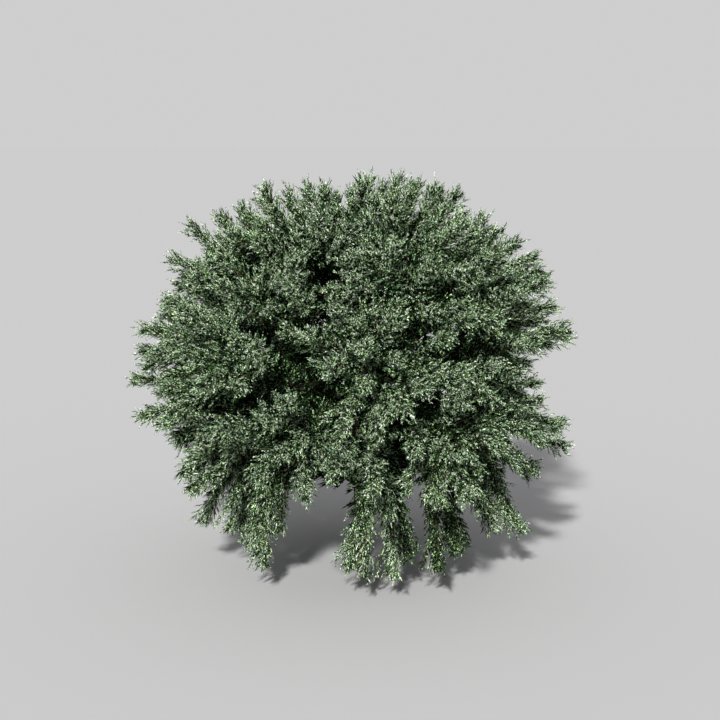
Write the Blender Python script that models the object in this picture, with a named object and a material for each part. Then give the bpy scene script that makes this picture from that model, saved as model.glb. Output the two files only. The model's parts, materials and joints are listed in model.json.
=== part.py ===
"""A round-headed cedar, 3.2 m tall and 3.5 m across, in metres, +Z up.

A short trunk runs up through the crown. Boughs leave it in tiers and each carries one
mass of foliage, whose stem forks into curved twigs that end in bristled plumes. The
skirt boughs arch over, and their plumes hang nearly to the ground.
The origin is the centre of the trunk's flat cut at ground level.
"""

import math
import random

import bmesh
import bpy
import numpy as np
from mathutils import Vector

# ---------------------------------------------------------------- driving dimensions

SEED = 1566
CLEAR = 0.0003  # gap that touching pieces keep

# Crown: a dome over a shallower bowl, both on one centre.
CROWN_CENTRE = Vector((0.0, 0.0, 1.65))
CROWN_SPREAD = 1.70  # centre to side
CROWN_RISE = 1.56  # centre to top
CROWN_FALL = 1.58  # centre to where the bowl would close
CROWN_EDGE = -30.0  # degrees: no standing plume ends lower than this
REACH_SPREAD = 0.06  # plumes end this share short of the dome, or past it

# Trunk
TRUNK_TOP = 2.55
TRUNK_RADIUS = 0.056  # above the root flare
TRUNK_TIP_RADIUS = 0.013
FLARE_RADIUS = 0.080  # at the ground
FLARE_HEIGHT = 0.22
FLARE_LOBES = 5
TRUNK_SWAY = 0.03
TRUNK_SIDES = 12
TRUNK_RINGS = 13

# Tiers of boughs: name, boughs, first azimuth, elevation of their masses, and the height
# at which they leave the trunk.
TIERS = (
    ("shoulder", 6, 24.0, 38.0, 1.72),
    ("waist", 7, 8.0, 11.0, 1.38),
    ("hip", 6, 34.0, -14.0, 1.08),
)
TIER_STAGGER = 0.26  # neighbouring boughs of a tier leave the trunk this far apart, at most
CROWN_MASSES = 4  # round the leader, straight on the trunk
CROWN_MASS_ELEVATION = 61.0
CROWN_MASS_LEAVES = 2.10

# Plumes that shape the crown's outline: azimuth, elevation, reach as a share of the way to
# the dome, and droop. The nearest plume of the even spiral is moved to each place.
RIM = (
    (92, 9, 1.02, 0.22), (94, 19, 0.99, 0.22), (96, 27, 1.02, 0.22), (98, 34, 1.03, 0.22),
    (102, 46, 0.98, 0.22), (104, 52, 0.99, 0.22), (110, 61, 1.03, 0.22), (117, 66, 1.02, 0.22),
    (124, 71, 1.01, 0.22), (136, 75, 1.02, 0.22), (164, 79, 0.98, 0.22), (225, 75, 0.95, 0.22),
    (243, 67, 0.98, 0.22), (249, 61, 1.01, 0.22), (254, 55, 1.01, 0.22), (257, 49, 1.04, 0.22),
    (260, 42, 1.10, 0.22), (263, 32, 1.06, 0.22), (266, 21, 0.98, 0.22), (267, 17, 0.97, 0.22),
    (268, 11, 1.05, 0.22), (269, 5, 1.04, 0.22), (270, 1, 1.02, 0.22), (271, -3, 1.07, 0.22),
    (273, -13, 1.06, 0.22), (274, -16, 0.99, 0.22), (275, -24, 0.93, 0.22), (277, -33, 0.95, 0.22),
    (82, -33, 0.97, 0.22), (85, -21, 1.06, -0.10), (87, -15, 1.01, -0.40), (89, -5, 0.84, 0.22),
    (63, 8, 0.85, 0.22), (300, -22, 0.94, 0.22), (345, -24, 0.98, 0.22), (353, -17, 0.95, 0.22),
    (113, 3, 1.02, 0.22),
)

# Skirt boughs: azimuth, how far out they reach, how far their tips lean out (0 is straight
# down), and the azimuth, distance out and height of each hanging tip.
SKIRT = (
    (15, 0.88, 0.1, ((2, 0.88, 0.20), (17, 0.87, 0.16), (28, 0.79, 0.28))),
    (51, 1.02, 0.35, ((37, 1.02, 0.21), (52, 0.97, 0.29), (62, 0.94, 0.29))),
    (86, 1.30, 0.9, ((75, 1.36, 0.38), (85, 1.12, 0.47), (109, 1.10, 0.50))),
    (137, 1.18, 0.3, ((120, 1.18, 0.40), (137, 1.12, 0.45), (154, 1.06, 0.54))),
    (182, 1.12, 0.3, ((165, 1.12, 0.50), (182, 1.06, 0.59), (199, 1.01, 0.68))),
    (228, 1.16, 0.2, ((211, 1.16, 0.54), (228, 1.10, 0.45), (245, 1.04, 0.52))),
    (272, 1.30, 0.6, ((280, 1.29, 0.41), (288, 1.10, 0.40), (256, 1.15, 0.60))),
    (306, 1.02, 0.1, ((311, 1.00, 0.18), (314, 0.88, 0.48), (299, 0.97, 0.29))),
)
SKIRT_ELEVATION = -38.0
SKIRT_LEAVES = 0.74

# Boughs
BOUGH_BASE_RADIUS = 0.021
BOUGH_TIP_RADIUS = 0.012
BOUGH_REACH = 0.46  # share of the way from the crown's centre to the dome
BOUGH_DROP = 0.10  # bough tips lie this much below the straight line from the centre
BOUGH_SIDES = 5
BOUGH_RINGS = 6

# Masses
PLUME_COUNT = 126  # standing plumes over the whole dome
PLUME_DROOP = 0.22  # how far the tips of standing plumes turn down, most at the sides
STEM_REACH = 0.66  # where a mass's stem ends, as a share of the way to the dome
LEADER_STEM = 0.16  # length of the stem that goes on from the trunk's top
TWIG_RADIUS = 0.009
PLUME_RADIUS = 0.105
PLUME_SWELL = 0.045  # extra radius at the thickest part of a standing plume
PLUME_START = 0.30  # share of a twig that is bare
PLUME_RINGS = 4
VALLEY_SHARE = 0.42  # of the plume's radius, between its teeth
LEAST_TOOTH = 0.03  # a plume with less room than this has no teeth there
LEAST_CORE = 0.012
SPACE_MARGIN = 0.012  # a mass keeps this far from the surface between it and the next
GOLDEN_TURN = math.radians(137.508)


# ---------------------------------------------------------------- the growth rule


def heading(azimuth, elevation):
    """Unit vector. Azimuth 0 is -Y and 90 is +X, elevation is above the horizon."""
    a, e = math.radians(azimuth), math.radians(elevation)
    return Vector((math.sin(a) * math.cos(e), -math.cos(a) * math.cos(e), math.sin(e)))


def dome(way, share=1.0):
    """The point this share of the way from the crown's centre to its dome."""
    height = CROWN_RISE if way.z > 0 else CROWN_FALL
    reach = Vector((way.x * CROWN_SPREAD, way.y * CROWN_SPREAD, way.z * height))
    return CROWN_CENTRE + share * reach


def trunk_centre(height):
    """The trunk's axis, which sways a little."""
    share = height / TRUNK_TOP
    sway = TRUNK_SWAY * share
    return Vector((sway * math.sin(5.0 * share), sway * math.sin(3.4 * share), height))


def trunk_radius(height):
    flare = (FLARE_RADIUS - TRUNK_RADIUS) * max(0.0, 1.0 - height / FLARE_HEIGHT) ** 2
    taper = (1.0 - height / TRUNK_TOP) ** 0.8
    return TRUNK_TIP_RADIUS + (TRUNK_RADIUS - TRUNK_TIP_RADIUS) * taper + flare


def bezier(a, b, c, d, count):
    """Points along a cubic curve from a to d."""
    points = []
    for i in range(count):
        t = i / (count - 1)
        s = 1 - t
        points.append(s**3 * a + 3 * t * s * s * b + 3 * t * t * s * c + t**3 * d)
    return points


def masses():
    """Every mass of foliage: its name, the way it faces, and where its limb leaves the trunk."""
    rng = random.Random(SEED)
    found = [{"name": "leader", "way": Vector((0, 0, 1)), "leaves": TRUNK_TOP, "bough": False}]
    for i in range(CROWN_MASSES):
        way = heading(40.0 + 360.0 * i / CROWN_MASSES, CROWN_MASS_ELEVATION + rng.uniform(-4, 4))
        leaves = CROWN_MASS_LEAVES + 0.07 * i
        found.append({"name": f"crown_{i + 1}", "way": way, "leaves": leaves, "bough": False})
    for name, count, first, elevation, leaves in TIERS:
        for i in range(count):
            way = heading(first + 360.0 * i / count + rng.uniform(-4, 4), elevation + rng.uniform(-4, 4))
            height = leaves + TIER_STAGGER * ((0.382 * i) % 1.0 - 0.5)
            found.append({"name": f"{name}_{i + 1}", "way": way, "leaves": height, "bough": True})
    for i, (azimuth, out, lean, tips) in enumerate(SKIRT):
        height = SKIRT_LEAVES + TIER_STAGGER * ((0.382 * i) % 1.0 - 0.5)
        way = heading(azimuth, SKIRT_ELEVATION)
        mass = {"name": f"skirt_{i + 1}", "way": way, "leaves": height, "bough": True}
        mass["hangs"] = (azimuth, out, lean, tips)
        found.append(mass)
    for mass in found:
        mass["plumes"] = []
        place_stem(mass)
    deal_plumes(found, rng)
    return found


def place_stem(mass):
    """The bough's tip, which is where the mass's stem starts, and the stem's far end."""
    way = mass["way"]
    if "hangs" in mass:
        azimuth, out = mass["hangs"][:2]
        level = heading(azimuth, 0)
        mass["root"] = level * out * 0.42 + Vector((0, 0, 1.00))
        mass["end"] = level * out * 0.66 + Vector((0, 0, 1.13))
    elif mass["bough"]:
        mass["root"] = dome(way, BOUGH_REACH) - Vector((0, 0, BOUGH_DROP))
        mass["end"] = dome(way, STEM_REACH)
    elif mass["name"] == "leader":
        mass["root"] = trunk_centre(TRUNK_TOP)
        mass["end"] = mass["root"] + way * LEADER_STEM
    else:
        mass["root"] = trunk_centre(mass["leaves"])
        mass["end"] = dome(way, STEM_REACH)


def deal_plumes(found, rng):
    """Standing plumes end on an even spiral over the dome, and each belongs to the nearest mass."""
    low = math.sin(math.radians(CROWN_EDGE))
    spacing = math.degrees(math.sqrt(2 * math.pi * (1 - low) / PLUME_COUNT))
    dealt = []
    for i in range(PLUME_COUNT):
        elevation = math.degrees(math.asin(1 - (i + 0.5) / PLUME_COUNT * (1 - low)))
        azimuth = math.degrees(i * GOLDEN_TURN)
        elevation += rng.uniform(-0.25, 0.25) * spacing
        azimuth += rng.uniform(-0.25, 0.25) * spacing / max(0.2, math.cos(math.radians(elevation)))
        way = heading(azimuth, min(elevation, 89.0))
        dealt.append([way, 1 + rng.uniform(-REACH_SPREAD, REACH_SPREAD), PLUME_DROOP])
    free = list(dealt)
    for azimuth, elevation, share, droop in RIM:
        way = heading(azimuth, elevation)
        nearest = max(free, key=lambda d: d[0].dot(way))
        free.remove(nearest)
        nearest[:] = [way, share, droop]
    for way, share, droop in dealt:
        tip = dome(way, share)
        ends = (way - Vector((0, 0, droop * (1 - way.z)))).normalized()
        mass = max(found, key=lambda m: m["way"].dot(way))
        mass["plumes"].append({"tip": tip, "ends": ends})
    for mass in found:
        if "hangs" not in mass:
            continue
        _, _, lean, tips = mass["hangs"]
        for azimuth, out, height in tips:
            level = heading(azimuth, 0)
            ends = (level * lean - Vector((0, 0, 1))).normalized()
            tip = level * out + Vector((0, 0, height))
            mass["plumes"].append({"tip": tip, "ends": ends, "hangs": level})


def grow_twigs(mass):
    """Each plume's twig forks off the stem, the widest-set ones first, and curves to its tip."""
    root, end = mass["root"], mass["end"]
    along = (end - root).normalized()
    order = sorted(mass["plumes"], key=lambda p: -((p["tip"] - end).normalized() - along).length)
    for k, plume in enumerate(order):
        share = 0.30 + 0.66 * k / max(1, len(order) - 1)
        fork = root + (end - root) * share
        span = (plume["tip"] - fork).length
        leaving = (along + (plume["tip"] - fork).normalized()).normalized()
        if plume.get("hangs"):
            leaving = (plume["hangs"] + Vector((0, 0, 0.3 - 0.5 * mass["hangs"][2]))).normalized()
        near = fork + leaving * span * 0.33
        far = plume["tip"] - plume["ends"] * span * 0.36
        plume["path"] = bezier(fork, near, far, plume["tip"], 13)


# ---------------------------------------------------------------- meshes


def frames(path, arriving=None):
    """(point, direction, side, up) along a path, with the side carried on from point to point."""
    made = []
    side = None
    for i, point in enumerate(path):
        way = (path[min(i + 1, len(path) - 1)] - path[max(i - 1, 0)]).normalized()
        if arriving and i == len(path) - 1:
            way = arriving
        if side is None:
            side = way.orthogonal().normalized()
        side = (side - way * side.dot(way)).normalized()
        made.append((point, way, side, way.cross(side)))
    return made


def finished(name, mesh):
    data = bpy.data.meshes.new(name)
    mesh.to_mesh(data)
    mesh.free()
    return bpy.data.objects.new(name, data)


def loft(name, rings):
    """A closed mesh through rings of equal size, with flat ends."""
    mesh = bmesh.new()
    verts = [[mesh.verts.new(point) for point in ring] for ring in rings]
    count = len(rings[0])
    for lower, upper in zip(verts, verts[1:]):
        for j in range(count):
            k = (j + 1) % count
            mesh.faces.new((lower[j], lower[k], upper[k], upper[j]))
    mesh.faces.new(verts[0][::-1])
    mesh.faces.new(verts[-1])
    bmesh.ops.triangulate(mesh, faces=mesh.faces[:])
    return finished(name, mesh)


def tube(name, path, radii, sides, arriving=None):
    """A tapering limb with flat ends, the last one square to the way it arrives."""
    rings = []
    for (point, _, side, up), radius in zip(frames(path, arriving), radii):
        turns = [2 * math.pi * j / sides for j in range(sides)]
        rings.append([point + radius * (math.cos(t) * side + math.sin(t) * up) for t in turns])
    return loft(name, rings)


def trunk_rings(extra):
    rings = []
    for i in range(TRUNK_RINGS):
        height = TRUNK_TOP * (i / (TRUNK_RINGS - 1)) ** 1.35
        centre = trunk_centre(height)
        near_ground = max(0.0, 1.0 - height / FLARE_HEIGHT)
        ring = []
        for j in range(TRUNK_SIDES):
            turn = 2 * math.pi * j / TRUNK_SIDES
            lobe = 1 + 0.16 * near_ground * math.cos(FLARE_LOBES * turn)
            radius = trunk_radius(height) * lobe + extra
            ring.append(centre + radius * Vector((math.cos(turn), math.sin(turn), 0)))
        rings.append(ring)
    return rings


def bough_path(mass):
    """From the trunk's axis, steeply up and out, and over to the mass's root."""
    start = trunk_centre(mass["leaves"])
    span = (mass["root"] - start).length
    out = Vector((mass["way"].x, mass["way"].y, 0)).normalized()
    leaving = (out + Vector((0, 0, 0.55))).normalized()
    arriving = (mass["end"] - mass["root"]).normalized()
    near = start + leaving * span * 0.35
    far = mass["root"] - arriving * span * 0.3
    return bezier(start, near, far, mass["root"], BOUGH_RINGS)


class Space:
    """The axes of all limbs and twigs, and the room that a plume has beside those of other masses."""

    def __init__(self):
        self.points, self.owners, self.radii = [], [], []

    def add(self, path, owner, radius):
        for a, b in zip(path, path[1:]):
            for share in (0.0, 0.33, 0.67):
                self.points.append(a.lerp(b, share))
                self.owners.append(owner)
                self.radii.append(radius)
        self.points.append(path[-1])
        self.owners.append(owner)
        self.radii.append(radius)

    def close(self):
        self.points = np.array([tuple(p) for p in self.points])
        self.owners = np.array(self.owners)
        self.radii = np.array(self.radii)

    def room(self, point, owner):
        """Half the distance to another mass's axis, or the whole distance to a limb."""
        other = self.owners != owner
        gaps = np.linalg.norm(self.points[other] - np.array(point), axis=1)
        limb = self.radii[other] > 0
        return float(np.where(limb, gaps - self.radii[other], gaps / 2).min()) - SPACE_MARGIN


def plume_radius(share, hangs):
    """A plume swells from its bare twig and keeps its girth nearly to its blunt tip."""
    widest = PLUME_RADIUS + (0.0 if hangs else PLUME_SWELL * max(0.0, 1.0 - abs(share - 0.4) / 0.5))
    swell = min(1.0, 0.5 + share / 0.3)
    taper = min(1.0, (1.0 - share) / 0.4) ** 0.5
    return widest * swell * taper


def twig_rings(stations, last):
    """The bare, three-sided part of a twig."""
    rings = []
    for at in (0, last // 2, last):
        point, _, side, up = stations[at]
        turns = [2 * math.pi * j / 3 for j in range(3)]
        rings.append([point + TWIG_RADIUS * (math.cos(t) * side + math.sin(t) * up) for t in turns])
    return rings


def plume_rings(path, stations, first, space, owner, hangs):
    """Rings of three teeth that point forward, with valleys between, turned by one place from ring to ring."""
    last = len(path) - 1
    step = (last - first) / (PLUME_RINGS + 0.6)
    rings = []
    for i in range(PLUME_RINGS):
        at = first + (i + 0.8) * step
        low = int(at)
        point = path[low].lerp(path[low + 1], at - low)
        _, way, side, up = stations[low]
        pitch = step * (path[low + 1] - path[low]).length
        radius = plume_radius((at - first) / (last - first), hangs)
        sweep = 0.75 * pitch
        reach = math.hypot(radius, sweep)
        allowed = max(space.room(point, owner), 0.0)
        if reach > allowed:
            radius, sweep = radius * allowed / reach, sweep * allowed / reach
        if radius < LEAST_TOOTH:
            radius, sweep = min(radius, LEAST_CORE), 0.0
        radius = max(radius, LEAST_CORE)
        ring = []
        for j in range(6):
            turn = math.pi / 3 * j
            outward = math.cos(turn) * side + math.sin(turn) * up
            tooth = (i + j) % 2 == 0
            spread = radius if tooth else max(LEAST_CORE, radius * VALLEY_SHARE)
            ring.append(point + outward * spread + (way * sweep if tooth else Vector()))
        rings.append(ring)
    return rings


def twig_with_plume(name, path, space, owner, hangs):
    """One closed mesh: a bare three-sided twig that widens into six-cornered rings of teeth."""
    stations = frames(path)
    first = round(PLUME_START * (len(path) - 1))
    bare = twig_rings(stations, first)
    plume = plume_rings(path, stations, first, space, owner, hangs)
    mesh = bmesh.new()
    thin = [[mesh.verts.new(point) for point in ring] for ring in bare]
    wide = [[mesh.verts.new(point) for point in ring] for ring in plume]
    mesh.faces.new(thin[0][::-1])
    for rings in (thin, wide):
        for lower, upper in zip(rings, rings[1:]):
            for j in range(len(lower)):
                k = (j + 1) % len(lower)
                mesh.faces.new((lower[j], lower[k], upper[k], upper[j]))
    for j in range(3):
        a, b = thin[-1][j], thin[-1][(j + 1) % 3]
        p, q, r = wide[0][2 * j], wide[0][2 * j + 1], wide[0][(2 * j + 2) % 6]
        mesh.faces.new((a, q, p))
        mesh.faces.new((a, b, q))
        mesh.faces.new((b, r, q))
    peak = mesh.verts.new(path[-1])
    for j in range(6):
        mesh.faces.new((wide[-1][j], wide[-1][(j + 1) % 6], peak))
    bmesh.ops.triangulate(mesh, faces=mesh.faces[:])
    return finished(name, mesh)


# ---------------------------------------------------------------- materials and assembly


def material(name, colour, roughness):
    made = bpy.data.materials.new(name)
    made.use_nodes = True
    shader = made.node_tree.nodes["Principled BSDF"]
    shader.inputs["Base Color"].default_value = (*colour, 1)
    shader.inputs["Roughness"].default_value = roughness
    shader.inputs["Metallic"].default_value = 0
    return made


def rounded(obj):
    """Shades a limb smooth, but for its flat ends."""
    obj.data.shade_smooth()
    obj.data.set_sharp_from_angle(angle=math.radians(75))


def show(obj, finish):
    obj.data.materials.clear()
    obj.data.materials.append(finish)
    bpy.context.scene.collection.objects.link(obj)
    return obj


def settle(obj):
    """Replaces an object's mesh by its evaluated one, with no modifier left."""
    graph = bpy.context.evaluated_depsgraph_get()
    data = bpy.data.meshes.new_from_object(obj.evaluated_get(graph))
    obj.modifiers.clear()
    obj.data = data


def cut(obj, cutter):
    """Cuts the trunk out of a limb that starts inside it."""
    boolean = obj.modifiers.new("clear of the trunk", "BOOLEAN")
    boolean.operation = "DIFFERENCE"
    boolean.solver = "EXACT"
    boolean.object = cutter
    settle(obj)


def fuse(obj, pieces):
    """Joins the pieces to obj by one union over a collection, and removes them."""
    group = bpy.data.collections.new("fused")
    bpy.context.scene.collection.children.link(group)
    for piece in pieces:
        group.objects.link(piece)
    boolean = obj.modifiers.new("fused foliage", "BOOLEAN")
    boolean.operation = "UNION"
    boolean.solver = "MANIFOLD"
    boolean.operand_type = "COLLECTION"
    boolean.collection = group
    settle(obj)
    for piece in pieces:
        bpy.data.objects.remove(piece)
    bpy.data.collections.remove(group)


def tapered(first, last, count):
    return [first + (last - first) * i / (count - 1) for i in range(count)]


def build():
    for obj in list(bpy.data.objects):
        bpy.data.objects.remove(obj)
    bark = material("bark", (0.09, 0.065, 0.045), 0.9)
    leaf = material("foliage", (0.075, 0.115, 0.06), 0.7)

    rounded(show(loft("trunk", trunk_rings(0.0)), bark))
    cutter = show(loft("trunk_cutter", trunk_rings(CLEAR + 0.0001)), bark)
    cutter.hide_render = True
    cutter.display_type = "WIRE"

    found = masses()
    space = Space()
    space.add([trunk_centre(TRUNK_TOP * i / 12) for i in range(13)], "trunk", TRUNK_RADIUS)
    for mass in found:
        grow_twigs(mass)
        space.add([mass["root"], mass["end"]], mass["name"], 0.0)
        for plume in mass["plumes"]:
            space.add(plume["path"], mass["name"], 0.0)
        if mass["bough"]:
            space.add(bough_path(mass), "bough_" + mass["name"], BOUGH_BASE_RADIUS)
    space.close()

    for mass in found:
        name, root, end = mass["name"], mass["root"], mass["end"]
        along = (end - root).normalized()
        if mass["bough"]:
            radii = tapered(BOUGH_BASE_RADIUS, BOUGH_TIP_RADIUS, BOUGH_RINGS)
            bough = show(tube("bough_" + name, bough_path(mass), radii, BOUGH_SIDES, along), bark)
            cut(bough, cutter)
            rounded(bough)
        start = root + along * CLEAR if mass["bough"] or name == "leader" else root
        stem = show(tube("foliage_" + name, [start, end], [BOUGH_TIP_RADIUS, TWIG_RADIUS], 5), leaf)
        if not mass["bough"] and name != "leader":
            cut(stem, cutter)
        plumes = []
        for k, plume in enumerate(mass["plumes"]):
            plumes.append(twig_with_plume(f"plume_{k}", plume["path"], space, name, "hangs" in plume))
        fuse(stem, plumes)


build()
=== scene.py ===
# %% [markdown]
# # A round-headed cedar
#
# The plant is an evergreen 3.2 m tall, as round as a ball. What shows is its foliage: some
# 400 plumes, each a brush of scaly sprays on a twig, which radiate from boughs inside.
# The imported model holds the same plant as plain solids, with 150 of those plumes. This lesson
# loads it as a fixed frame, grows the same skeleton again, and carries it on to more plumes,
# finer twigs, sprays and bark. Lengths are in metres, and angles in degrees.

# %% The frame
import json
import math
import random

import bpy
import numpy as np
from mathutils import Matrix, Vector, noise

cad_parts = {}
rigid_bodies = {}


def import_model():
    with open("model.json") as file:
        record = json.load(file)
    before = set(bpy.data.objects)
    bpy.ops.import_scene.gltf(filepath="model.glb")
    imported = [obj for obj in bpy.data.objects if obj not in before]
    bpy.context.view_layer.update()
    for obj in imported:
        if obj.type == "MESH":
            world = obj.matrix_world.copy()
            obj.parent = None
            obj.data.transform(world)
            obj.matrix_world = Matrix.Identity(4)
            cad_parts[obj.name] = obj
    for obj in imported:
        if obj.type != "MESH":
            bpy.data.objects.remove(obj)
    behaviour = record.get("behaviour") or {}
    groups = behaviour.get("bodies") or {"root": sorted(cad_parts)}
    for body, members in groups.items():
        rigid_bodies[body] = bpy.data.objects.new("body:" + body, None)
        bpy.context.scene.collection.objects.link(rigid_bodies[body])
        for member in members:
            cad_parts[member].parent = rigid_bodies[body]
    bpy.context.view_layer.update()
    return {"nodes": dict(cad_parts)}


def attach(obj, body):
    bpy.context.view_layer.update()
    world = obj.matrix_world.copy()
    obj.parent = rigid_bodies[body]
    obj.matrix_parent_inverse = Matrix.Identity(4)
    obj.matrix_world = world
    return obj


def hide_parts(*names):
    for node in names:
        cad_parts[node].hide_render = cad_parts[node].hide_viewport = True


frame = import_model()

print("nodes in the frame:", len(frame["nodes"]))

# %% [markdown]
# ## Helpers
#
# Both kinds of node tree used below, materials and Geometry Nodes, are built with one small
# function. It adds a node, sets its options, and links or types in each of its inputs.


# %% Adding a node
def add(tree, kind, inputs=None, **options):
    """Adds a node. An input given as a socket is linked, and any other is typed in."""
    node = tree.nodes.new(kind)
    for name, value in options.items():
        setattr(node, name, value)
    for key, value in (inputs or {}).items():
        if isinstance(value, bpy.types.NodeSocket):
            tree.links.new(value, node.inputs[key])
        else:
            node.inputs[key].default_value = value
    return node


# %% Colours and new pieces
def linear(code):
    """An sRGB hex colour as the linear values that shaders take, by the sRGB formula."""
    made = []
    for i in (1, 3, 5):
        c = int(code[i : i + 2], 16) / 255
        made.append(c / 12.92 if c <= 0.04045 else ((c + 0.055) / 1.055) ** 2.4)
    return (*made, 1.0)


def new_object(name, data):
    made = bpy.data.objects.new(name, data)
    bpy.context.scene.collection.objects.link(made)
    return made


def plain_mesh(name, verts, faces=(), edges=()):
    data = bpy.data.meshes.new(name)
    data.from_pydata([tuple(v) for v in verts], edges, faces)
    data.update()
    return data


def put(data, name, kind, values):
    """Gives each point of a mesh its value of an attribute."""
    attribute = data.attributes.new(name, kind, "POINT")
    key = "vector" if kind == "FLOAT_VECTOR" else "value"
    attribute.data.foreach_set(key, np.ascontiguousarray(values).ravel())


# %% [markdown]
# ## The camera
#
# A short lens close by would make the ball bulge towards the eye. A long one from 11 m away,
# 12 degrees above the crown's middle, shows it as round as it is, and a little from above.

# %% Camera
CAMERA_TARGET = Vector((0.01, 0.0, 1.73))
CAMERA_DISTANCE = 11.0
CAMERA_ELEVATION = math.radians(12)
LENS = 68.7  # in millimetres, as the next one
FILM_WIDTH = 36.0

camera_data = bpy.data.cameras.new("camera")
camera_data.lens = LENS
camera_data.sensor_width = FILM_WIDTH
camera = new_object("camera", camera_data)
back = Vector((0.0, -math.cos(CAMERA_ELEVATION), math.sin(CAMERA_ELEVATION)))
camera.location = CAMERA_TARGET + back * CAMERA_DISTANCE
camera.rotation_euler = back.to_track_quat("Z", "Y").to_euler()
bpy.context.scene.camera = camera
print("camera stands at", [round(v, 2) for v in camera.location])

# %% [markdown]
# ## The skeleton
#
# A conifer like this grows by one habit. A leader goes straight up, boughs leave it in tiers,
# and each bough feeds a fan of twigs that end on the crown's round surface. So the plume tips
# are dealt out on a golden-turn spiral over a dome, which spaces them evenly with no pattern
# that the eye can find, and a curve leads from each tip back to the nearest bough. The numbers
# and the order of random draws are the model's own, so every curve lies inside its solids.

# %% Sizes of the crown, the trunk and the boughs
SEED = 1566
CROWN_CENTRE = Vector((0.0, 0.0, 1.65))
CROWN_SPREAD = 1.70  # from the centre out to the dome
CROWN_RISE = 1.56  # up to the dome
CROWN_FALL = 1.58  # and down to it
TRUNK_TOP = 2.55
TRUNK_RADIUS = 0.056
TRUNK_TIP_RADIUS = 0.013
TRUNK_SWAY = 0.03
SWAY_TURNS = (5.0, 3.4)  # radians that the sway turns on the way up, in x and in y
FLARE_RADIUS = 0.080
FLARE_HEIGHT = 0.22
TIERS = (
    # name, boughs, azimuth of the first, elevation of the masses, height where boughs leave
    ("shoulder", 6, 24.0, 38.0, 1.72),
    ("waist", 7, 8.0, 11.0, 1.38),
    ("hip", 6, 34.0, -14.0, 1.08),
)
TIER_STAGGER = 0.26  # how far apart in height the boughs of one tier leave the trunk
GOLDEN_SHARE = 0.382
PLACE_SPREAD = 4  # how far a mass may be turned out of its even place, in degrees
CROWN_MASSES = 4
CROWN_MASS_FIRST = 40.0  # azimuth
CROWN_MASS_ELEVATION = 61.0
CROWN_MASS_LEAVES = 2.10  # height of the lowest one's stem, on the trunk
CROWN_MASS_STEP = 0.07  # from one to the next
BOUGH_BASE_RADIUS = 0.021
BOUGH_TIP_RADIUS = 0.012
BOUGH_REACH = 0.46  # share of the way to the dome
BOUGH_DROP = 0.10
STEM_REACH = 0.66
LEADER_STEM = 0.16
TWIG_RADIUS = 0.009
print("crown", 2 * CROWN_SPREAD, "m across, trunk", TRUNK_TOP, "m tall")

# %% Sizes and places of the plumes
PLUME_COUNT = 126  # standing ones
PLUME_DROOP = 0.22
TIP_SPREAD = 0.25  # how far a tip may be off its even place, as a share of the spacing
REACH_SPREAD = 0.06  # and how far short of the dome or past it
CROWN_EDGE = -30.0  # elevation of the lowest standing plumes
STEEPEST = 89.0
FORK_FIRST = 0.30  # share of the stem at which the first twig forks off
FORK_SPAN = 0.66  # and the share over which the others follow
TWIG_LEAVES = 0.33  # how long a twig keeps the way in which it leaves, as a share of its span
TWIG_ARRIVES = 0.36  # and the one in which it ends
TWIG_POINTS = 25
GOLDEN_TURN = math.radians(137.508)
RIM = (  # plumes of the outline: azimuth, elevation, share of the way to the dome, droop
    (92, 9, 1.02, 0.22), (94, 19, 0.99, 0.22), (96, 27, 1.02, 0.22), (98, 34, 1.03, 0.22),
    (102, 46, 0.98, 0.22), (104, 52, 0.99, 0.22), (110, 61, 1.03, 0.22), (117, 66, 1.02, 0.22),
    (124, 71, 1.01, 0.22), (136, 75, 1.02, 0.22), (164, 79, 0.98, 0.22), (225, 75, 0.95, 0.22),
    (243, 67, 0.98, 0.22), (249, 61, 1.01, 0.22), (254, 55, 1.01, 0.22), (257, 49, 1.04, 0.22),
    (260, 42, 1.10, 0.22), (263, 32, 1.06, 0.22), (266, 21, 0.98, 0.22), (267, 17, 0.97, 0.22),
    (268, 11, 1.05, 0.22), (269, 5, 1.04, 0.22), (270, 1, 1.02, 0.22), (271, -3, 1.07, 0.22),
    (273, -13, 1.06, 0.22), (274, -16, 0.99, 0.22), (275, -24, 0.93, 0.22), (277, -33, 0.95, 0.22),
    (82, -33, 0.97, 0.22), (85, -21, 1.06, -0.10), (87, -15, 1.01, -0.40), (89, -5, 0.84, 0.22),
    (63, 8, 0.85, 0.22), (300, -22, 0.94, 0.22), (345, -24, 0.98, 0.22), (353, -17, 0.95, 0.22),
    (113, 3, 1.02, 0.22),
)
SKIRT = (
    # masses that hang: azimuth, distance out, how far they lean out, and of each tip its
    # azimuth, distance out and height
    (15, 0.88, 0.1, ((2, 0.88, 0.20), (17, 0.87, 0.16), (28, 0.79, 0.28))),
    (51, 1.02, 0.35, ((37, 1.02, 0.21), (52, 0.97, 0.29), (62, 0.94, 0.29))),
    (86, 1.30, 0.9, ((75, 1.36, 0.38), (85, 1.12, 0.47), (109, 1.10, 0.50))),
    (137, 1.18, 0.3, ((120, 1.18, 0.40), (137, 1.12, 0.45), (154, 1.06, 0.54))),
    (182, 1.12, 0.3, ((165, 1.12, 0.50), (182, 1.06, 0.59), (199, 1.01, 0.68))),
    (228, 1.16, 0.2, ((211, 1.16, 0.54), (228, 1.10, 0.45), (245, 1.04, 0.52))),
    (272, 1.30, 0.6, ((280, 1.29, 0.41), (288, 1.10, 0.40), (256, 1.15, 0.60))),
    (306, 1.02, 0.1, ((311, 1.00, 0.18), (314, 0.88, 0.48), (299, 0.97, 0.29))),
)
SKIRT_ELEVATION = -38.0
SKIRT_LEAVES = 0.74  # height at which their boughs leave the trunk
SKIRT_STEM = ((0.42, 1.00), (0.66, 1.13))  # share of the way out, and height, of both its ends
SKIRT_RISE = (0.3, 0.5)  # how steeply twigs leave, and how much less where the mass leans out
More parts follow.
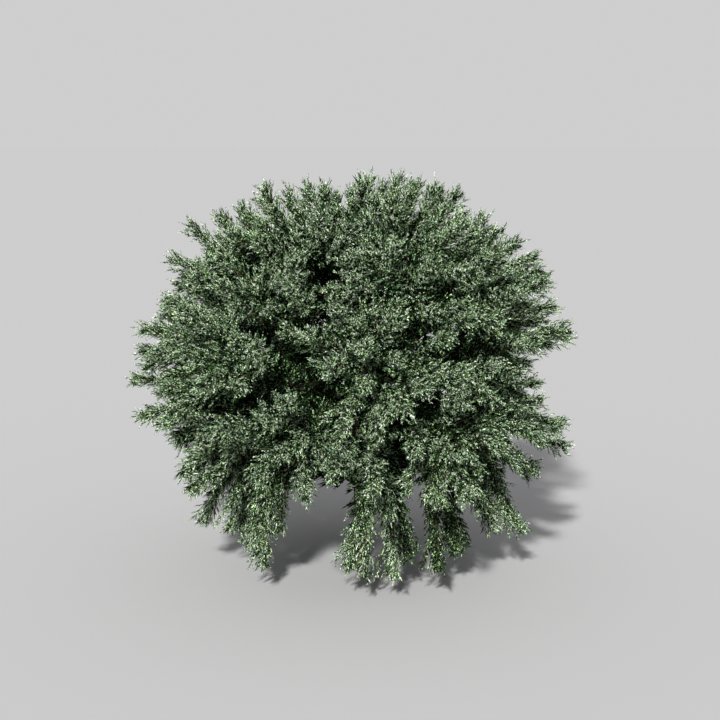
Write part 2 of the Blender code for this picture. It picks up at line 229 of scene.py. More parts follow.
print(len(RIM), "plumes are placed on the outline, and", len(SKIRT), "masses hang")


# %% Directions, dome, trunk and curves
def heading(azimuth, elevation):
    """Unit vector. Azimuth 0 is -Y and 90 is +X, elevation is above the horizon."""
    a, e = math.radians(azimuth), math.radians(elevation)
    return Vector((math.sin(a) * math.cos(e), -math.cos(a) * math.cos(e), math.sin(e)))


def dome(way, share=1.0):
    """The point this share of the way from the crown's centre to its dome."""
    height = CROWN_RISE if way.z > 0 else CROWN_FALL
    reach = Vector((way.x * CROWN_SPREAD, way.y * CROWN_SPREAD, way.z * height))
    return CROWN_CENTRE + share * reach


def trunk_centre(height):
    share = height / TRUNK_TOP
    sway = TRUNK_SWAY * share
    turns = [math.sin(turn * share) for turn in SWAY_TURNS]
    return Vector((sway * turns[0], sway * turns[1], height))


def trunk_radius(height):
    flare = (FLARE_RADIUS - TRUNK_RADIUS) * max(0.0, 1.0 - height / FLARE_HEIGHT) ** 2
    taper = (1.0 - height / TRUNK_TOP) ** 0.8
    return TRUNK_TIP_RADIUS + (TRUNK_RADIUS - TRUNK_TIP_RADIUS) * taper + flare


def bezier(a, b, c, d, count):
    """Points along a cubic curve from a to d."""
    points = []
    for i in range(count):
        t = i / (count - 1)
        s = 1 - t
        points.append(s**3 * a + 3 * t * s * s * b + 3 * t * t * s * c + t**3 * d)
    return points


# %% Masses, their stems and their plumes
def place_stem(mass):
    """The bough's tip, which is where the mass's stem starts, and the stem's far end."""
    way = mass["way"]
    if "hangs" in mass:
        azimuth, out = mass["hangs"][:2]
        level = heading(azimuth, 0)
        for end, (share, height) in zip(("root", "end"), SKIRT_STEM):
            mass[end] = level * out * share + Vector((0, 0, height))
    elif mass["bough"]:
        mass["root"] = dome(way, BOUGH_REACH) - Vector((0, 0, BOUGH_DROP))
        mass["end"] = dome(way, STEM_REACH)
    elif mass["name"] == "leader":
        mass["root"] = trunk_centre(TRUNK_TOP)
        mass["end"] = mass["root"] + way * LEADER_STEM
    else:
        mass["root"] = trunk_centre(mass["leaves"])
        mass["end"] = dome(way, STEM_REACH)


def deal_plumes(found, rng):
    """Standing plumes end on an even spiral over the dome, and each belongs to the nearest mass."""
    low = math.sin(math.radians(CROWN_EDGE))
    spacing = math.degrees(math.sqrt(2 * math.pi * (1 - low) / PLUME_COUNT))
    dealt = []
    for i in range(PLUME_COUNT):
        elevation = math.degrees(math.asin(1 - (i + 0.5) / PLUME_COUNT * (1 - low)))
        azimuth = math.degrees(i * GOLDEN_TURN)
        elevation += rng.uniform(-TIP_SPREAD, TIP_SPREAD) * spacing
        narrowing = max(0.2, math.cos(math.radians(elevation)))
        azimuth += rng.uniform(-TIP_SPREAD, TIP_SPREAD) * spacing / narrowing
        way = heading(azimuth, min(elevation, STEEPEST))
        dealt.append([way, 1 + rng.uniform(-REACH_SPREAD, REACH_SPREAD), PLUME_DROOP])
    free = list(dealt)
    for azimuth, elevation, share, droop in RIM:
        way = heading(azimuth, elevation)
        nearest = max(free, key=lambda d: d[0].dot(way))
        free.remove(nearest)
        nearest[:] = [way, share, droop]
    for way, share, droop in dealt:
        tip = dome(way, share)
        ends = (way - Vector((0, 0, droop * (1 - way.z)))).normalized()
        mass = max(found, key=lambda m: m["way"].dot(way))
        mass["plumes"].append({"tip": tip, "ends": ends})
    for mass in found:
        if "hangs" not in mass:
            continue
        _, _, lean, tips = mass["hangs"]
        for azimuth, out, height in tips:
            level = heading(azimuth, 0)
            ends = (level * lean - Vector((0, 0, 1))).normalized()
            tip = level * out + Vector((0, 0, height))
            mass["plumes"].append({"tip": tip, "ends": ends, "hangs": level})


def grow_twigs(mass):
    """Each plume's twig forks off the stem, the widest-set ones first, and curves to its tip."""
    root, end = mass["root"], mass["end"]
    along = (end - root).normalized()
    order = sorted(mass["plumes"], key=lambda p: -((p["tip"] - end).normalized() - along).length)
    for k, plume in enumerate(order):
        share = FORK_FIRST + FORK_SPAN * k / max(1, len(order) - 1)
        fork = root + (end - root) * share
        span = (plume["tip"] - fork).length
        leaving = (along + (plume["tip"] - fork).normalized()).normalized()
        if plume.get("hangs"):
            rise = SKIRT_RISE[0] - SKIRT_RISE[1] * mass["hangs"][2]
            leaving = (plume["hangs"] + Vector((0, 0, rise))).normalized()
        near = fork + leaving * span * TWIG_LEAVES
        far = plume["tip"] - plume["ends"] * span * TWIG_ARRIVES
        plume["path"] = bezier(fork, near, far, plume["tip"], TWIG_POINTS)


def grow_skeleton():
    """Every mass of foliage, with its place, its stem and its plumes."""
    rng = random.Random(SEED)
    found = [{"name": "leader", "way": Vector((0, 0, 1)), "leaves": TRUNK_TOP, "bough": False}]
    for i in range(CROWN_MASSES):
        elevation = CROWN_MASS_ELEVATION + rng.uniform(-PLACE_SPREAD, PLACE_SPREAD)
        way = heading(CROWN_MASS_FIRST + 360.0 * i / CROWN_MASSES, elevation)
        leaves = CROWN_MASS_LEAVES + CROWN_MASS_STEP * i
        found.append({"name": f"crown_{i + 1}", "way": way, "leaves": leaves, "bough": False})
    for name, count, first, elevation, leaves in TIERS:
        for i in range(count):
            turned = first + 360.0 * i / count + rng.uniform(-PLACE_SPREAD, PLACE_SPREAD)
            way = heading(turned, elevation + rng.uniform(-PLACE_SPREAD, PLACE_SPREAD))
            height = leaves + TIER_STAGGER * ((GOLDEN_SHARE * i) % 1.0 - 0.5)
            found.append({"name": f"{name}_{i + 1}", "way": way, "leaves": height, "bough": True})
    for i, (azimuth, out, lean, tips) in enumerate(SKIRT):
        height = SKIRT_LEAVES + TIER_STAGGER * ((GOLDEN_SHARE * i) % 1.0 - 0.5)
        way = heading(azimuth, SKIRT_ELEVATION)
        mass = {"name": f"skirt_{i + 1}", "way": way, "leaves": height, "bough": True}
        mass["hangs"] = (azimuth, out, lean, tips)
        found.append(mass)
    for mass in found:
        mass["plumes"] = []
        place_stem(mass)
    deal_plumes(found, rng)
    for mass in found:
        grow_twigs(mass)
    return found


masses = grow_skeleton()
print(len(masses), "masses,", sum(len(m["plumes"]) for m in masses), "plumes")


# %% [markdown]
# ## From plumes to sprays
#
# A plume is a brush. Its twig carries branchlets all round, a golden turn apart, and every
# branchlet carries sprays left and right and one at its end. Each level leans forward, which
# gives the pointed, layered look, and a few side shoots give a plume several points. Deep
# inside, broad dark sprays close the view through the crown, as old scales do on the plant,
# and their dark tints are painted shade: the inside is coloured darker for the shade there.
#
# Between the 150 plumes that the plain solids have, the real plant fills in with others that
# end a little lower. A second, closer spiral deals them out, and each forks off the nearest
# twig. Where that leaves a gap, a filling plume is listed by azimuth and elevation.
# A whole axis is worked out at once with arrays, because a Python loop over each spray would
# be slow.

# %% Places of the filling plumes
FILLING_COUNT = 470  # places on the second spiral, some of which are taken already
FILLING_EDGE = -38.0  # elevation of the lowest ones
FILLING_SPREAD = 2.5  # how far one may be off its even place, in degrees
OPENING = (-22.0, -48.0, 2.0)  # below this elevation, between these azimuths, stays open
NOTCHES = (  # azimuths from, to, elevations from, to: fillings end low there
    (56, 118, -19, 6),
    (52, 72, -40, -28),
)
NOTCH_REACH = 0.74
FILLING_MORE = (  # azimuth and elevation of some more, over gaps that the spiral leaves
    (-9, 36), (-1, 47), (7, 1), (-33, 6), (17, 7), (-3, -10), (-4, 45), (5, -4),
    (-35, 41), (33, 25), (-17, 33), (-31, 19), (28, 7), (-7, 30), (-40, 29), (4, 47),
    (-27, 38), (-22, 35), (24, 9), (0, 26), (23, 20), (-40, 25), (-6, 60), (5, 63), (-14, 66),
    (117, 43), (110, 29), (114, 21), (-7, 53), (7, 54),
)
FILLING_PLACED = (  # azimuth, elevation and share of the way to the dome of the rest
    (-10, -38, 0.62), (-20, -32, 0.62), (-2, -30, 0.66),  # short ones in the opening
    (100, 40, 1.00), (97, 30, 1.00), (113, 64, 0.98), (148, 77, 0.96),  # on the outline
    (190, 77, 0.93), (258, 46, 0.92), (268, 13, 0.97),
    (243, 50, 0.98), (273, 50, 0.94), (250, 31, 0.99), (275, 28, 0.96),  # beside it, on the left
    (279, 29, 0.86), (283, 32, 0.95), (256, 6, 0.97), (279, 6, 0.97),
    (256, -13, 0.92), (284, -14, 0.95), (259, -29, 0.90), (287, -29, 0.92),
)
FILLING_REACH = (0.85, 0.94)  # share of the way to the dome
OUTLINE_AZIMUTH = 90  # to each side: the outline's plumes lie there and reach far
OUTLINE_SIDES = (15, 42)  # degrees away from it, from and to, where the fillings reach further
OUTLINE_REACH = 0.07  # and by how much
FILLING_GAP = 7.4  # degrees that a filling plume keeps from the tip of a first one
FILLING_FORK = (0.10, 0.34)  # share of the first plume's twig at which it forks off
FILLING_LEAVES = 0.35
FILLING_POINTS = 19
# filling plumes end lower and get fewer pale tints: painted shade in the hollows between the first
# plumes
FILLING_SHADED_GLOW = 0.75  # how far the pale tints come in on a filling plume, 1 on a first one
FILLING_GIRTH = 0.006
print(len(FILLING_MORE) + len(FILLING_PLACED), "filling plumes are placed by hand")

# %% Places of more hanging plumes
HANGING_GAP = (10.0, 26.0)  # degrees between hanging plumes that get one more between them
HANGING_OPENING = (3.0, 62.0)  # azimuths between which none is added
HANGING_SHORTER = 0.07
HANGING_MORE = ((0, -5, 0.84, 0.25),)  # one more: number of the mass, azimuth, out, height
HANGING_FORK = 4  # point of its neighbour's twig at which one forks off
HANGING_RISE = 0.1
HANGING_LEAVES = 0.3
HANGING_ARRIVES = 0.4

# %% Sizes of shoots, brushes and sprays
SHOOTS = 3  # points beside its own in which a plume ends
SHOOT_LEAVES = (0.58, 0.80)  # share of the twig at which the first and last shoot leave
SHOOT_ANGLE = 27.0
SHOOT_LENGTH = (0.82, 1.0)  # share of what is left of the twig
SHOOT_PULLS = (0.4, 0.7, 0.3)  # share of its length at its two pulls, and from the last to its end
SHOOT_BEND = 0.75  # how much of the twig's own way its end takes on
SHOOT_POINTS = 7
SHOOT_GIRTHS = (0.0035, 0.0015)
TWIG_TIP_GIRTH = 0.0025
BRUSHES = {
    # along the twig from, to, metres between branchlets, branchlet length at foot and tip,
    # degrees from the twig at foot and tip, sprays on a branchlet, size of a spray
    "first": (0.16, 0.94, 0.0125, (0.158, 0.108), (43.0, 30.0), 10, 1.05),
    "filling": (0.16, 0.95, 0.0150, (0.134, 0.092), (42.0, 29.0), 9, 1.05),
    "hanging": (0.08, 0.90, 0.0110, (0.158, 0.120), (43.0, 30.0), 11, 1.05),
    "shoot": (0.15, 0.93, 0.0210, (0.062, 0.045), (42.0, 26.0), 5, 0.95),
    # the core, inner and shade brushes close the view through the crown with old scales, and their
    # dark tints are painted shade
    "core": (0.16, 0.92, 0.0300, (0.085, 0.055), (44.0, 28.0), 4, 1.7),
    "inner": (0.02, 0.44, 0.0320, (0.150, 0.110), (72.0, 58.0), 5, 2.2),
    "shade": (0.12, 1.00, 0.0160, (0.150, 0.170), (75.0, 65.0), 6, 2.4),
}
DARK_BRUSHES = ("core", "inner", "shade")
# INSIDE and DIM deal darker tints: painted shade for the inside of the crown and for a plume in
# shade
INSIDE, DIM = -1.0, -0.5  # places that stand for the dark inside, and for a plume in shade
BRANCHLETS_LEAST = 4
BRANCHLET_LENGTHS = (0.8, 1.15)  # times its brush's
FOOT_LENGTH = (0.55, 3.5)  # share of full length at a brush's foot, and how fast it grows
TURN_SPREAD = 0.25  # radians round the twig by which a branchlet is off its golden turn
ANGLE_SPREAD = 6  # and degrees by which it is off its angle to the twig
AXIS_LEAN = 0.8  # how far a spray's axis leans from its branchlet towards the twig
SPRAY_LENGTH = 0.046
SPRAY_ANGLE = 22.0
SPRAY_SIZES = (0.7, 1.15)  # times its brush's
SPRAY_TAPER = 0.15  # how much smaller sprays are at a branchlet's end
SPRAY_SLIP = 0.06  # how far back a spray may sit, as a share of the branchlet
SWING_SPREAD = (0.25, 0.15)  # of a spray to its side, and of the one at the end
TILT_SPREAD = 0.5  # out of the branchlet's plane
TIP_WEIGHTS = (0.6, 0.4)  # how much the place on the twig and on the branchlet make a tip

rng = np.random.default_rng(SEED)
print("brushes:", ", ".join(BRUSHES))


# %% Frames along a curve
STEEP = 0.9  # above this rise a path counts as upright
GUIDES = np.array([[0.93, 0.31, 0.17], [0.31, 0.17, 0.93]])  # for an upright path, and others


def unit(rows):
    return rows / np.linalg.norm(rows, axis=-1, keepdims=True)


def mix(pair, share):
    return pair[0] + (pair[1] - pair[0]) * share


def along_curve(path, shares):
    """Points, directions and two side directions at these shares of a path, and its length."""
    path = np.array([tuple(p) for p in path])
    gaps = np.linalg.norm(np.diff(path, axis=0), axis=1)
    run = np.concatenate([[0], np.cumsum(gaps)])
    at = np.asarray(shares) * run[-1]
    points = np.stack([np.interp(at, run, path[:, k]) for k in range(3)], 1)
    slopes = np.gradient(path, axis=0)
    ways = unit(np.stack([np.interp(at, run, slopes[:, k]) for k in range(3)], 1))
    upright = abs(ways[:, 2]).max() > STEEP
    side = unit(np.cross(ways, GUIDES[0 if upright else 1]))
    return points, ways, side, np.cross(ways, side), run[-1]


# %% Filling plumes
def turned_to(azimuth):
    """The azimuth from -180 to 180."""
    return (azimuth + 180) % 360 - 180


def spiral_share(azimuth, elevation, draws):
    """How far a filling of the spiral reaches, as a share of the way to the dome."""
    share = draws.uniform(*FILLING_REACH)
    beside = abs(abs(turned_to(azimuth)) - OUTLINE_AZIMUTH)
    if OUTLINE_SIDES[0] < beside < OUTLINE_SIDES[1]:
        share += OUTLINE_REACH
    for first, last, lowest, highest in NOTCHES:
        if first < azimuth % 360 < last and lowest < elevation < highest:
            share = NOTCH_REACH
    return share


def filling_places(draws):
    """Azimuth, elevation and share of each: those placed by hand, then the spiral's, share None."""
    places = [(azimuth, elevation, FILLING_REACH[1]) for azimuth, elevation in FILLING_MORE]
    places += FILLING_PLACED
    low = math.sin(math.radians(FILLING_EDGE))
    for i in range(FILLING_COUNT):
        elevation = math.degrees(math.asin(1 - (i + 0.5) / FILLING_COUNT * (1 - low)))
        azimuth = math.degrees(i * GOLDEN_TURN) + draws.uniform(-FILLING_SPREAD, FILLING_SPREAD)
        places.append((azimuth, elevation, None))
    return places


def filling_path(first, way, share, draws):
    """From a fork on the first plume's twig to this share of the way to the dome."""
    path = first["path"]
    at = mix(FILLING_FORK, draws.uniform()) * (len(path) - 1)
    fork = path[int(at)].lerp(path[int(at) + 1], at - int(at))
    tip = dome(way, share)
    ends = (way - Vector((0, 0, PLUME_DROOP * (1 - way.z)))).normalized()
    span = (tip - fork).length
    leaving = ((tip - fork).normalized() + (path[-1] - fork).normalized()).normalized()
    near = fork + leaving * span * FILLING_LEAVES
    return bezier(fork, near, tip - ends * span * TWIG_ARRIVES, tip, FILLING_POINTS)


def filling_plumes():
    """More plumes on a closer spiral: (mass, path) of each that has room."""
    firsts = [(m, p) for m in masses for p in m["plumes"] if not p.get("hangs")]
    ways = unit(np.array([tuple(p["tip"] - CROWN_CENTRE) for _, p in firsts]))
    draws = np.random.default_rng(SEED + 1)
    made = []
    for azimuth, elevation, share in filling_places(draws):
        placed = share is not None
        if not placed:
            if elevation < OPENING[0] and OPENING[1] < turned_to(azimuth) < OPENING[2]:
                continue
            share = spiral_share(azimuth, elevation, draws)
            elevation += draws.uniform(-FILLING_SPREAD, FILLING_SPREAD)
            elevation = min(STEEPEST, elevation)
        way = heading(azimuth, elevation)
        apart = np.degrees(np.arccos(np.clip(ways @ np.array(way), -1, 1)))
        nearest = int(apart.argmin())
        if apart[nearest] < FILLING_GAP and not placed:
            continue
        mass, first = firsts[nearest]
        made.append((mass, filling_path(first, way, share, draws)))
    return made


# %% More hanging plumes
def hanging_fillings():
    """One more plume between neighbours that hang, a little shorter: (mass, path) of each."""
    ring = [(m, p) for m in masses for p in m["plumes"] if p.get("hangs")]
    ring.sort(key=lambda pair: math.atan2(pair[1]["hangs"].x, -pair[1]["hangs"].y))
    wanted = []
    for (mass, one), (_, other) in zip(ring, ring[1:] + ring[:1]):
        level = (one["hangs"] + other["hangs"]).normalized()
        middle = math.degrees(math.atan2(level.x, -level.y))
        apart = math.degrees(one["hangs"].angle(other["hangs"]))
        if not HANGING_GAP[0] < apart < HANGING_GAP[1]:
            continue
        if HANGING_OPENING[0] < middle < HANGING_OPENING[1]:
            continue
        tip = (one["tip"] + other["tip"]) / 2 + Vector((0, 0, HANGING_SHORTER))
        wanted.append((mass, one, level, tip))
    hung = [m for m in masses if "hangs" in m]
    for number, azimuth, out, height in HANGING_MORE:
        mass = hung[number]
        one = next(p for p in mass["plumes"] if p.get("hangs"))
        level = heading(azimuth, 0)
        wanted.append((mass, one, level, level * out + Vector((0, 0, height))))
    made = []
    for mass, one, level, tip in wanted:
        fork = one["path"][HANGING_FORK]
        span = (tip - fork).length
        near = fork + (level + Vector((0, 0, HANGING_RISE))) * span * HANGING_LEAVES
        far = tip - one["ends"] * span * HANGING_ARRIVES
        made.append((mass, bezier(fork, near, far, tip, TWIG_POINTS)))
    return made


# %% Side shoots of one plume
def side_shoots(path):
    """Paths of the shoots that leave a plume near its end and stop short of its tip."""
    shares = np.linspace(*SHOOT_LEAVES, SHOOTS)
    points, ways, side, up, length = along_curve(path, shares)
    made = []
    for k in range(SHOOTS):
        turn = k * 2 * math.pi / SHOOTS + rng.uniform(-0.5, 0.5)
        out = math.cos(turn) * side[k] + math.sin(turn) * up[k]
        angle = math.radians(SHOOT_ANGLE + rng.uniform(-5, 5))
        span = length * (1 - shares[k]) * rng.uniform(*SHOOT_LENGTH)
        leaving = math.cos(angle) * ways[k] + math.sin(angle) * out
        near, far = (points[k] + leaving * span * pull for pull in SHOOT_PULLS[:2])
        bent = SHOOT_BEND * ways[k] + (1 - SHOOT_BEND) * leaving
        end = far + bent * span * SHOOT_PULLS[2]
        made.append(bezier(*(Vector(p) for p in (points[k], near, far, end)), SHOOT_POINTS))
    return made


# %% Branchlets and sprays of one twig
def clothe(path, brush, lean, glow):
    """Branchlets as root, way and length, and sprays as root, way, size, place and lean."""
    start, stop, step, lengths, angles, n, spray = BRUSHES[brush]
    dark = brush in DARK_BRUSHES
    length = along_curve(path, [0])[4]
    count = max(BRANCHLETS_LEAST, int(length * (stop - start) / step))
    u = (np.arange(count) + 0.5) / count
    points, ways, side, up, _ = along_curve(path, start + (stop - start) * u)
    turn = np.arange(count) * GOLDEN_TURN + rng.uniform(0, 6.28)
    turn += rng.normal(0, TURN_SPREAD, count)
    angle = np.radians(mix(angles, u**1.5) + rng.normal(0, ANGLE_SPREAD, count))
    out = np.cos(turn)[:, None] * side + np.sin(turn)[:, None] * up
    leaving = np.cos(angle)[:, None] * ways + np.sin(angle)[:, None] * out
    reach = mix(lengths, u) * rng.uniform(*BRANCHLET_LENGTHS, count)
    if not dark:
        reach *= np.clip(FOOT_LENGTH[0] + FOOT_LENGTH[1] * u, 0, 1)

    f = (np.arange(n) + 0.9) / n + rng.uniform(-SPRAY_SLIP, 0.0, (count, n))
    roots = points[:, None] + leaving[:, None] * (reach[:, None] * f)[..., None]
    axis = unit(leaving + AXIS_LEAN * ways)[:, None]
    flat = unit(np.cross(leaving, ways) + 1e-6)[:, None]
    tall = np.cross(axis, flat)
    swing = np.where(np.arange(n) % 2 == 0, 1.0, -1.0)[None, :]
    swing = swing + rng.normal(0, SWING_SPREAD[0], (count, n))
    swing[:, -1] = rng.normal(0, SWING_SPREAD[1], count)
    tilt = rng.normal(0, TILT_SPREAD, (count, n))
    spread = math.tan(math.radians(SPRAY_ANGLE))
    way = unit(axis + spread * (swing[..., None] * flat + tilt[..., None] * tall))
    size = spray * rng.uniform(*SPRAY_SIZES, (count, n)) * (1.0 - SPRAY_TAPER * f)
    place = glow * (TIP_WEIGHTS[0] * u[:, None] + TIP_WEIGHTS[1] * np.clip(f, 0, 1))
    # sprays of the dark brushes and of dim plumes take the inside tints: painted shade
    if dark:
        place = np.full((count, n), INSIDE)
    elif glow < 0:
        place = np.full((count, n), DIM)
    leans = np.full((count, n), lean)
    sprays = [roots.reshape(-1, 3), way.reshape(-1, 3), size.ravel(), place.ravel(), leans.ravel()]
    return [points, leaving, reach], sprays


# %% [markdown]
# ## Tints
#
# Sprays of one plant differ: new growth is pale, older scales are deep green, some plumes
# carry more of the blue-white bloom than others, and sprays inside are dark or brown. That
# darkness inside, and part of the darkness towards a plume's foot, is painted shade as well as
# old scales. Each spray gets one whole tint, and the chances depend on how near it is to the
# plume's tip. The list runs from dark to pale, because some needles of a spray are a few tints
# paler than its blade: so the last two, which no blade has, still show as fine pale points,
# partly painted sparkle.

# %% The tints and their chances
TINTS = (
    # name, colour, colour of its bloom and painted sparkle, chance inside the crown, near a plume's
    # foot, near its tip (darker inside and at the foot, partly painted shade)
    ("brown old scales", "#130F08", "#5A523C", 0.12, 0.06, 0.03),
    # shaded scales: near black, dealt mostly inside the crown as painted shade
    ("shaded scales", "#05120A", "#47603A", 0.56, 0.19, 0.05),
    ("deep green scales", "#061D06", "#AACC8C", 0.16, 0.38, 0.34),
    ("blue-green scales", "#0C2818", "#BADAB8", 0.10, 0.18, 0.21),
    ("mid green scales", "#1A4215", "#D8F0B8", 0.06, 0.14, 0.20),
    ("grey bloom scales", "#406840", "#ECF8E2", 0.00, 0.03, 0.08),
    ("sage scales", "#588248", "#F2FCE6", 0.00, 0.01, 0.06),
    ("pale green scales", "#8FB474", "#FAFEF4", 0.00, 0.01, 0.05),
    # the last two are reached only by paler needles; the near-white one is partly painted sparkle
    ("new scales", "#CDE0BC", "#FCFFF8", 0.00, 0.00, 0.00),
    ("white-edged scales", "#F6FAF2", "#FFFFFF", 0.00, 0.00, 0.00),
)
BLOOMING = ("blue-green scales", "grey bloom scales")
FRESH = ("pale green scales",)
PALE = ("grey bloom scales", "sage scales", "pale green scales")
# only a plume whose glow is above 1, the hanging one with a painted-light tip, gains these
PALE_GAIN = 8.0  # how much a plume whose glow is above 1 gains in pale sprays
LEAN_LIMITS = (0.2, 3)  # a chance is never cut or raised past these by a plume's lean


def deal_tints(place, lean):
    """One tint for each spray. Lean is each plume's own liking for bloom (+) or green (-)."""
    inside, foot, tip = (np.array([t[k] for t in TINTS])[None] for k in (3, 4, 5))
    share = place[:, None]
    chance = np.where(share < 0, inside, foot + (tip - foot) * share)
    for k, tint in enumerate(TINTS):
        if tint[0] in BLOOMING:
            chance[:, k] *= np.clip(1 + lean, *LEAN_LIMITS)
        if tint[0] in FRESH:
            chance[:, k] *= np.clip(1 - lean, *LEAN_LIMITS)
        if tint[0] in PALE:
            chance[:, k] *= 1 + PALE_GAIN * np.clip(place - 1, 0, 1)
    edge = np.cumsum(chance, 1)
    draw = rng.uniform(0, 1, len(place)) * edge[:, -1]
    return (draw[:, None] > edge).sum(1)


# %% Boughs
BOUGH_RISE = 0.55  # how steeply a bough leaves the trunk
BOUGH_LEAVES = 0.35
BOUGH_ARRIVES = 0.3


def bough_path(mass, count):
    """From the trunk's axis, steeply up and out, and over to the mass's root."""
    start = trunk_centre(mass["leaves"])
    span = (mass["root"] - start).length
    out = Vector((mass["way"].x, mass["way"].y, 0)).normalized()
    leaving = (out + Vector((0, 0, BOUGH_RISE))).normalized()
    arriving = (mass["end"] - mass["root"]).normalized()
    near = start + leaving * span * BOUGH_LEAVES
    far = mass["root"] - arriving * span * BOUGH_ARRIVES
    return bezier(start, near, far, mass["root"], count)


# %% Growing one plume
TIER_OF = {"leader": "crown"}
LEAN_SPREAD = 0.6
branchlets = []
twig_paths = []
pieces = {}


def piece_of(mass):
    """The masses of a tier take turns in two pieces, so that none grows too large."""
    family = mass["name"].split("_")[0]
    key = (TIER_OF.get(family, family), masses.index(mass) % 2)
    return pieces.setdefault(key, {"rows": [], "nodes": []})


def grow_on(mass, path, brush, lean, glow=1.0):
    """Clothes a path with a brush. A core's own branchlets are too short to show."""
    lines, rows = clothe(path, brush, lean, glow)
    if brush != "core":
        branchlets.append(lines)
    piece_of(mass)["rows"].append(rows)


def grow_plume(mass, path, brush, girth, glow=1.0):
    """A plume: its brush, the dark sprays inside it and its side shoots."""
    lean = rng.normal(0.0, LEAN_SPREAD)
    twig_paths.append((path, girth, TWIG_TIP_GIRTH))
    grow_on(mass, path, brush, lean, glow)
    grow_on(mass, path, "core", lean)
    grow_on(mass, path, "inner", lean)
    for shoot in side_shoots(path):
        twig_paths.append((shoot, *SHOOT_GIRTHS))
        grow_on(mass, shoot, "shoot", lean, glow)


# %% Growing every mass
# how pale a hanging plume's tip is, by the azimuth of its tip: above 1 it gains pale sprays, painted
# light on a lit tip, and below 0 it is dim, painted shade on plumes that hang in shade
HANGING_LIGHT_AND_SHADE = {17: 1.3, 28: -1, 37: -1, 52: -1, 62: -1}
BOUGH_POINTS = 24
TRUNK_FOLIAGE_FROM = 0.6  # height
TRUNK_STEPS = 12

for mass in masses:
    piece_of(mass)["nodes"].append("foliage_" + mass["name"])
    twig_paths.append(([mass["root"], mass["end"]], BOUGH_TIP_RADIUS, TWIG_RADIUS))
    limb = bough_path(mass, BOUGH_POINTS) if mass["bough"] else [mass["root"]]
    if mass["name"] == "leader":
        rise = TRUNK_TOP - TRUNK_FOLIAGE_FROM
        heights = [TRUNK_FOLIAGE_FROM + rise * i / TRUNK_STEPS for i in range(TRUNK_STEPS + 1)]
        limb = [trunk_centre(height) for height in heights]
    # shade sprays along each bough and the trunk: inner growth, with dark tints that are painted
    # shade
    grow_on(mass, limb + [mass["end"]], "shade", 0.0)
    for plume in mass["plumes"]:
        brush, glow = "first", 1.0
        if "hangs" in plume:
            azimuth = math.degrees(math.atan2(plume["hangs"].x, -plume["hangs"].y))
            brush, glow = "hanging", HANGING_LIGHT_AND_SHADE.get(round(azimuth), 1.0)
        grow_plume(mass, plume["path"], brush, TWIG_RADIUS, glow)
fillings = filling_plumes()
for mass, path in fillings:
    grow_plume(mass, path, "filling", FILLING_GIRTH, FILLING_SHADED_GLOW)
for mass, path in hanging_fillings():
    grow_plume(mass, path, "hanging", FILLING_GIRTH)
print(len(fillings), "filling plumes")
print(sum(len(b[0]) for b in branchlets), "branchlets")
print(sum(len(r[0]) for p in pieces.values() for r in p["rows"]), "sprays")


# %% [markdown]
# ## The spray
#
# One spray is a slim blade with four needles standing off it, five faces in all. Four
# versions with other angles hide the repeat, and a fifth with three broad blades fills the
# dim inside with fewer faces. They are only patterns: Geometry Nodes put a copy at each
# point, turned and sized by the point's own attributes, and the copies are then made real,
# because the finished piece has to be one plain mesh. A branchlet's wood is a pattern too, a
# spike with three sides.

# %% Spray patterns
BLADE_WIDTH = 0.20  # all these as shares of the spray's length
NEEDLE_START = 0.06
NEEDLE_STEP = 0.200
NEEDLE_LENGTH = 0.34
NEEDLE_HALF_WIDTH = 0.062
NEEDLE_SLANT = 0.05
# needles that are some tints paler give fine pale points: partly painted sparkle
SPRAY_KINDS = (
    # radians by which each needle is turned, how many tints paler it is, how far needles spread
    ((0.3, 3.3, 1.2, 4.5), (3, 0, 5, 1), 0.24),
    ((2.8, 0.1, 5.2, 2.0), (0, 5, 2, 0), 0.27),
    ((6.1, 3.0, 4.2, 1.0), (4, 0, 1, 5), 0.21),
    ((0.6, 2.6, 3.9, 5.7), (0, 6, 2, 0), 0.25),
)
SHADED_BLADES = ((0.0, 0.0), (2.1, 0.35), (4.2, -0.35))  # radians turned, how far it leans
SHADED_HALF_WIDTH = 0.13
SHADED_LENGTH = 0.95
SHADED_LIFTS = (0, 1, 0)


def spray_pattern(name, turns, lifts, spread):
    """A blade one unit long on +X, with needles round it that are some tints paler."""
    verts = [(0, BLADE_WIDTH / 2, 0), (0, -BLADE_WIDTH / 2, 0), (1, 0, 0)]
    faces = [(0, 1, 2)]
    for k, turn in enumerate(turns):
        start = NEEDLE_START + NEEDLE_STEP * k
        tip = (start + NEEDLE_LENGTH, spread * math.cos(turn), spread * math.sin(turn))
        y, z = -NEEDLE_HALF_WIDTH * math.sin(turn), NEEDLE_HALF_WIDTH * math.cos(turn)
        base = len(verts)
        verts += [(start, -y, -z), (start + NEEDLE_SLANT, y, z), tip]
        faces.append((base, base + 1, base + 2))
    data = plain_mesh(name, verts, faces)
    put(data, "lift", "INT", np.repeat([0, *lifts], 3).astype(np.int32))
    return bpy.data.objects.new(name, data)


def shaded_pattern(name):
    """Three broad blades and no pale needles, for the dim inside of a brush."""
    verts, faces = [], []
    for turn, lean in SHADED_BLADES:
        across = Vector((0, math.cos(turn), math.sin(turn))) * SHADED_HALF_WIDTH
        base = len(verts)
        verts += [across, -across, Vector((SHADED_LENGTH, lean, 0.3 * lean))]
        faces.append((base, base + 1, base + 2))
    data = plain_mesh(name, verts, faces)
    put(data, "lift", "INT", np.repeat(SHADED_LIFTS, 3).astype(np.int32))
    return bpy.data.objects.new(name, data)


patterns = bpy.data.collections.new("spray patterns")
bpy.context.scene.collection.children.link(patterns)
for k, kind in enumerate(SPRAY_KINDS):
    patterns.objects.link(spray_pattern(f"spray_{k}", *kind))
patterns.objects.link(shaded_pattern(f"spray_{len(SPRAY_KINDS)}"))


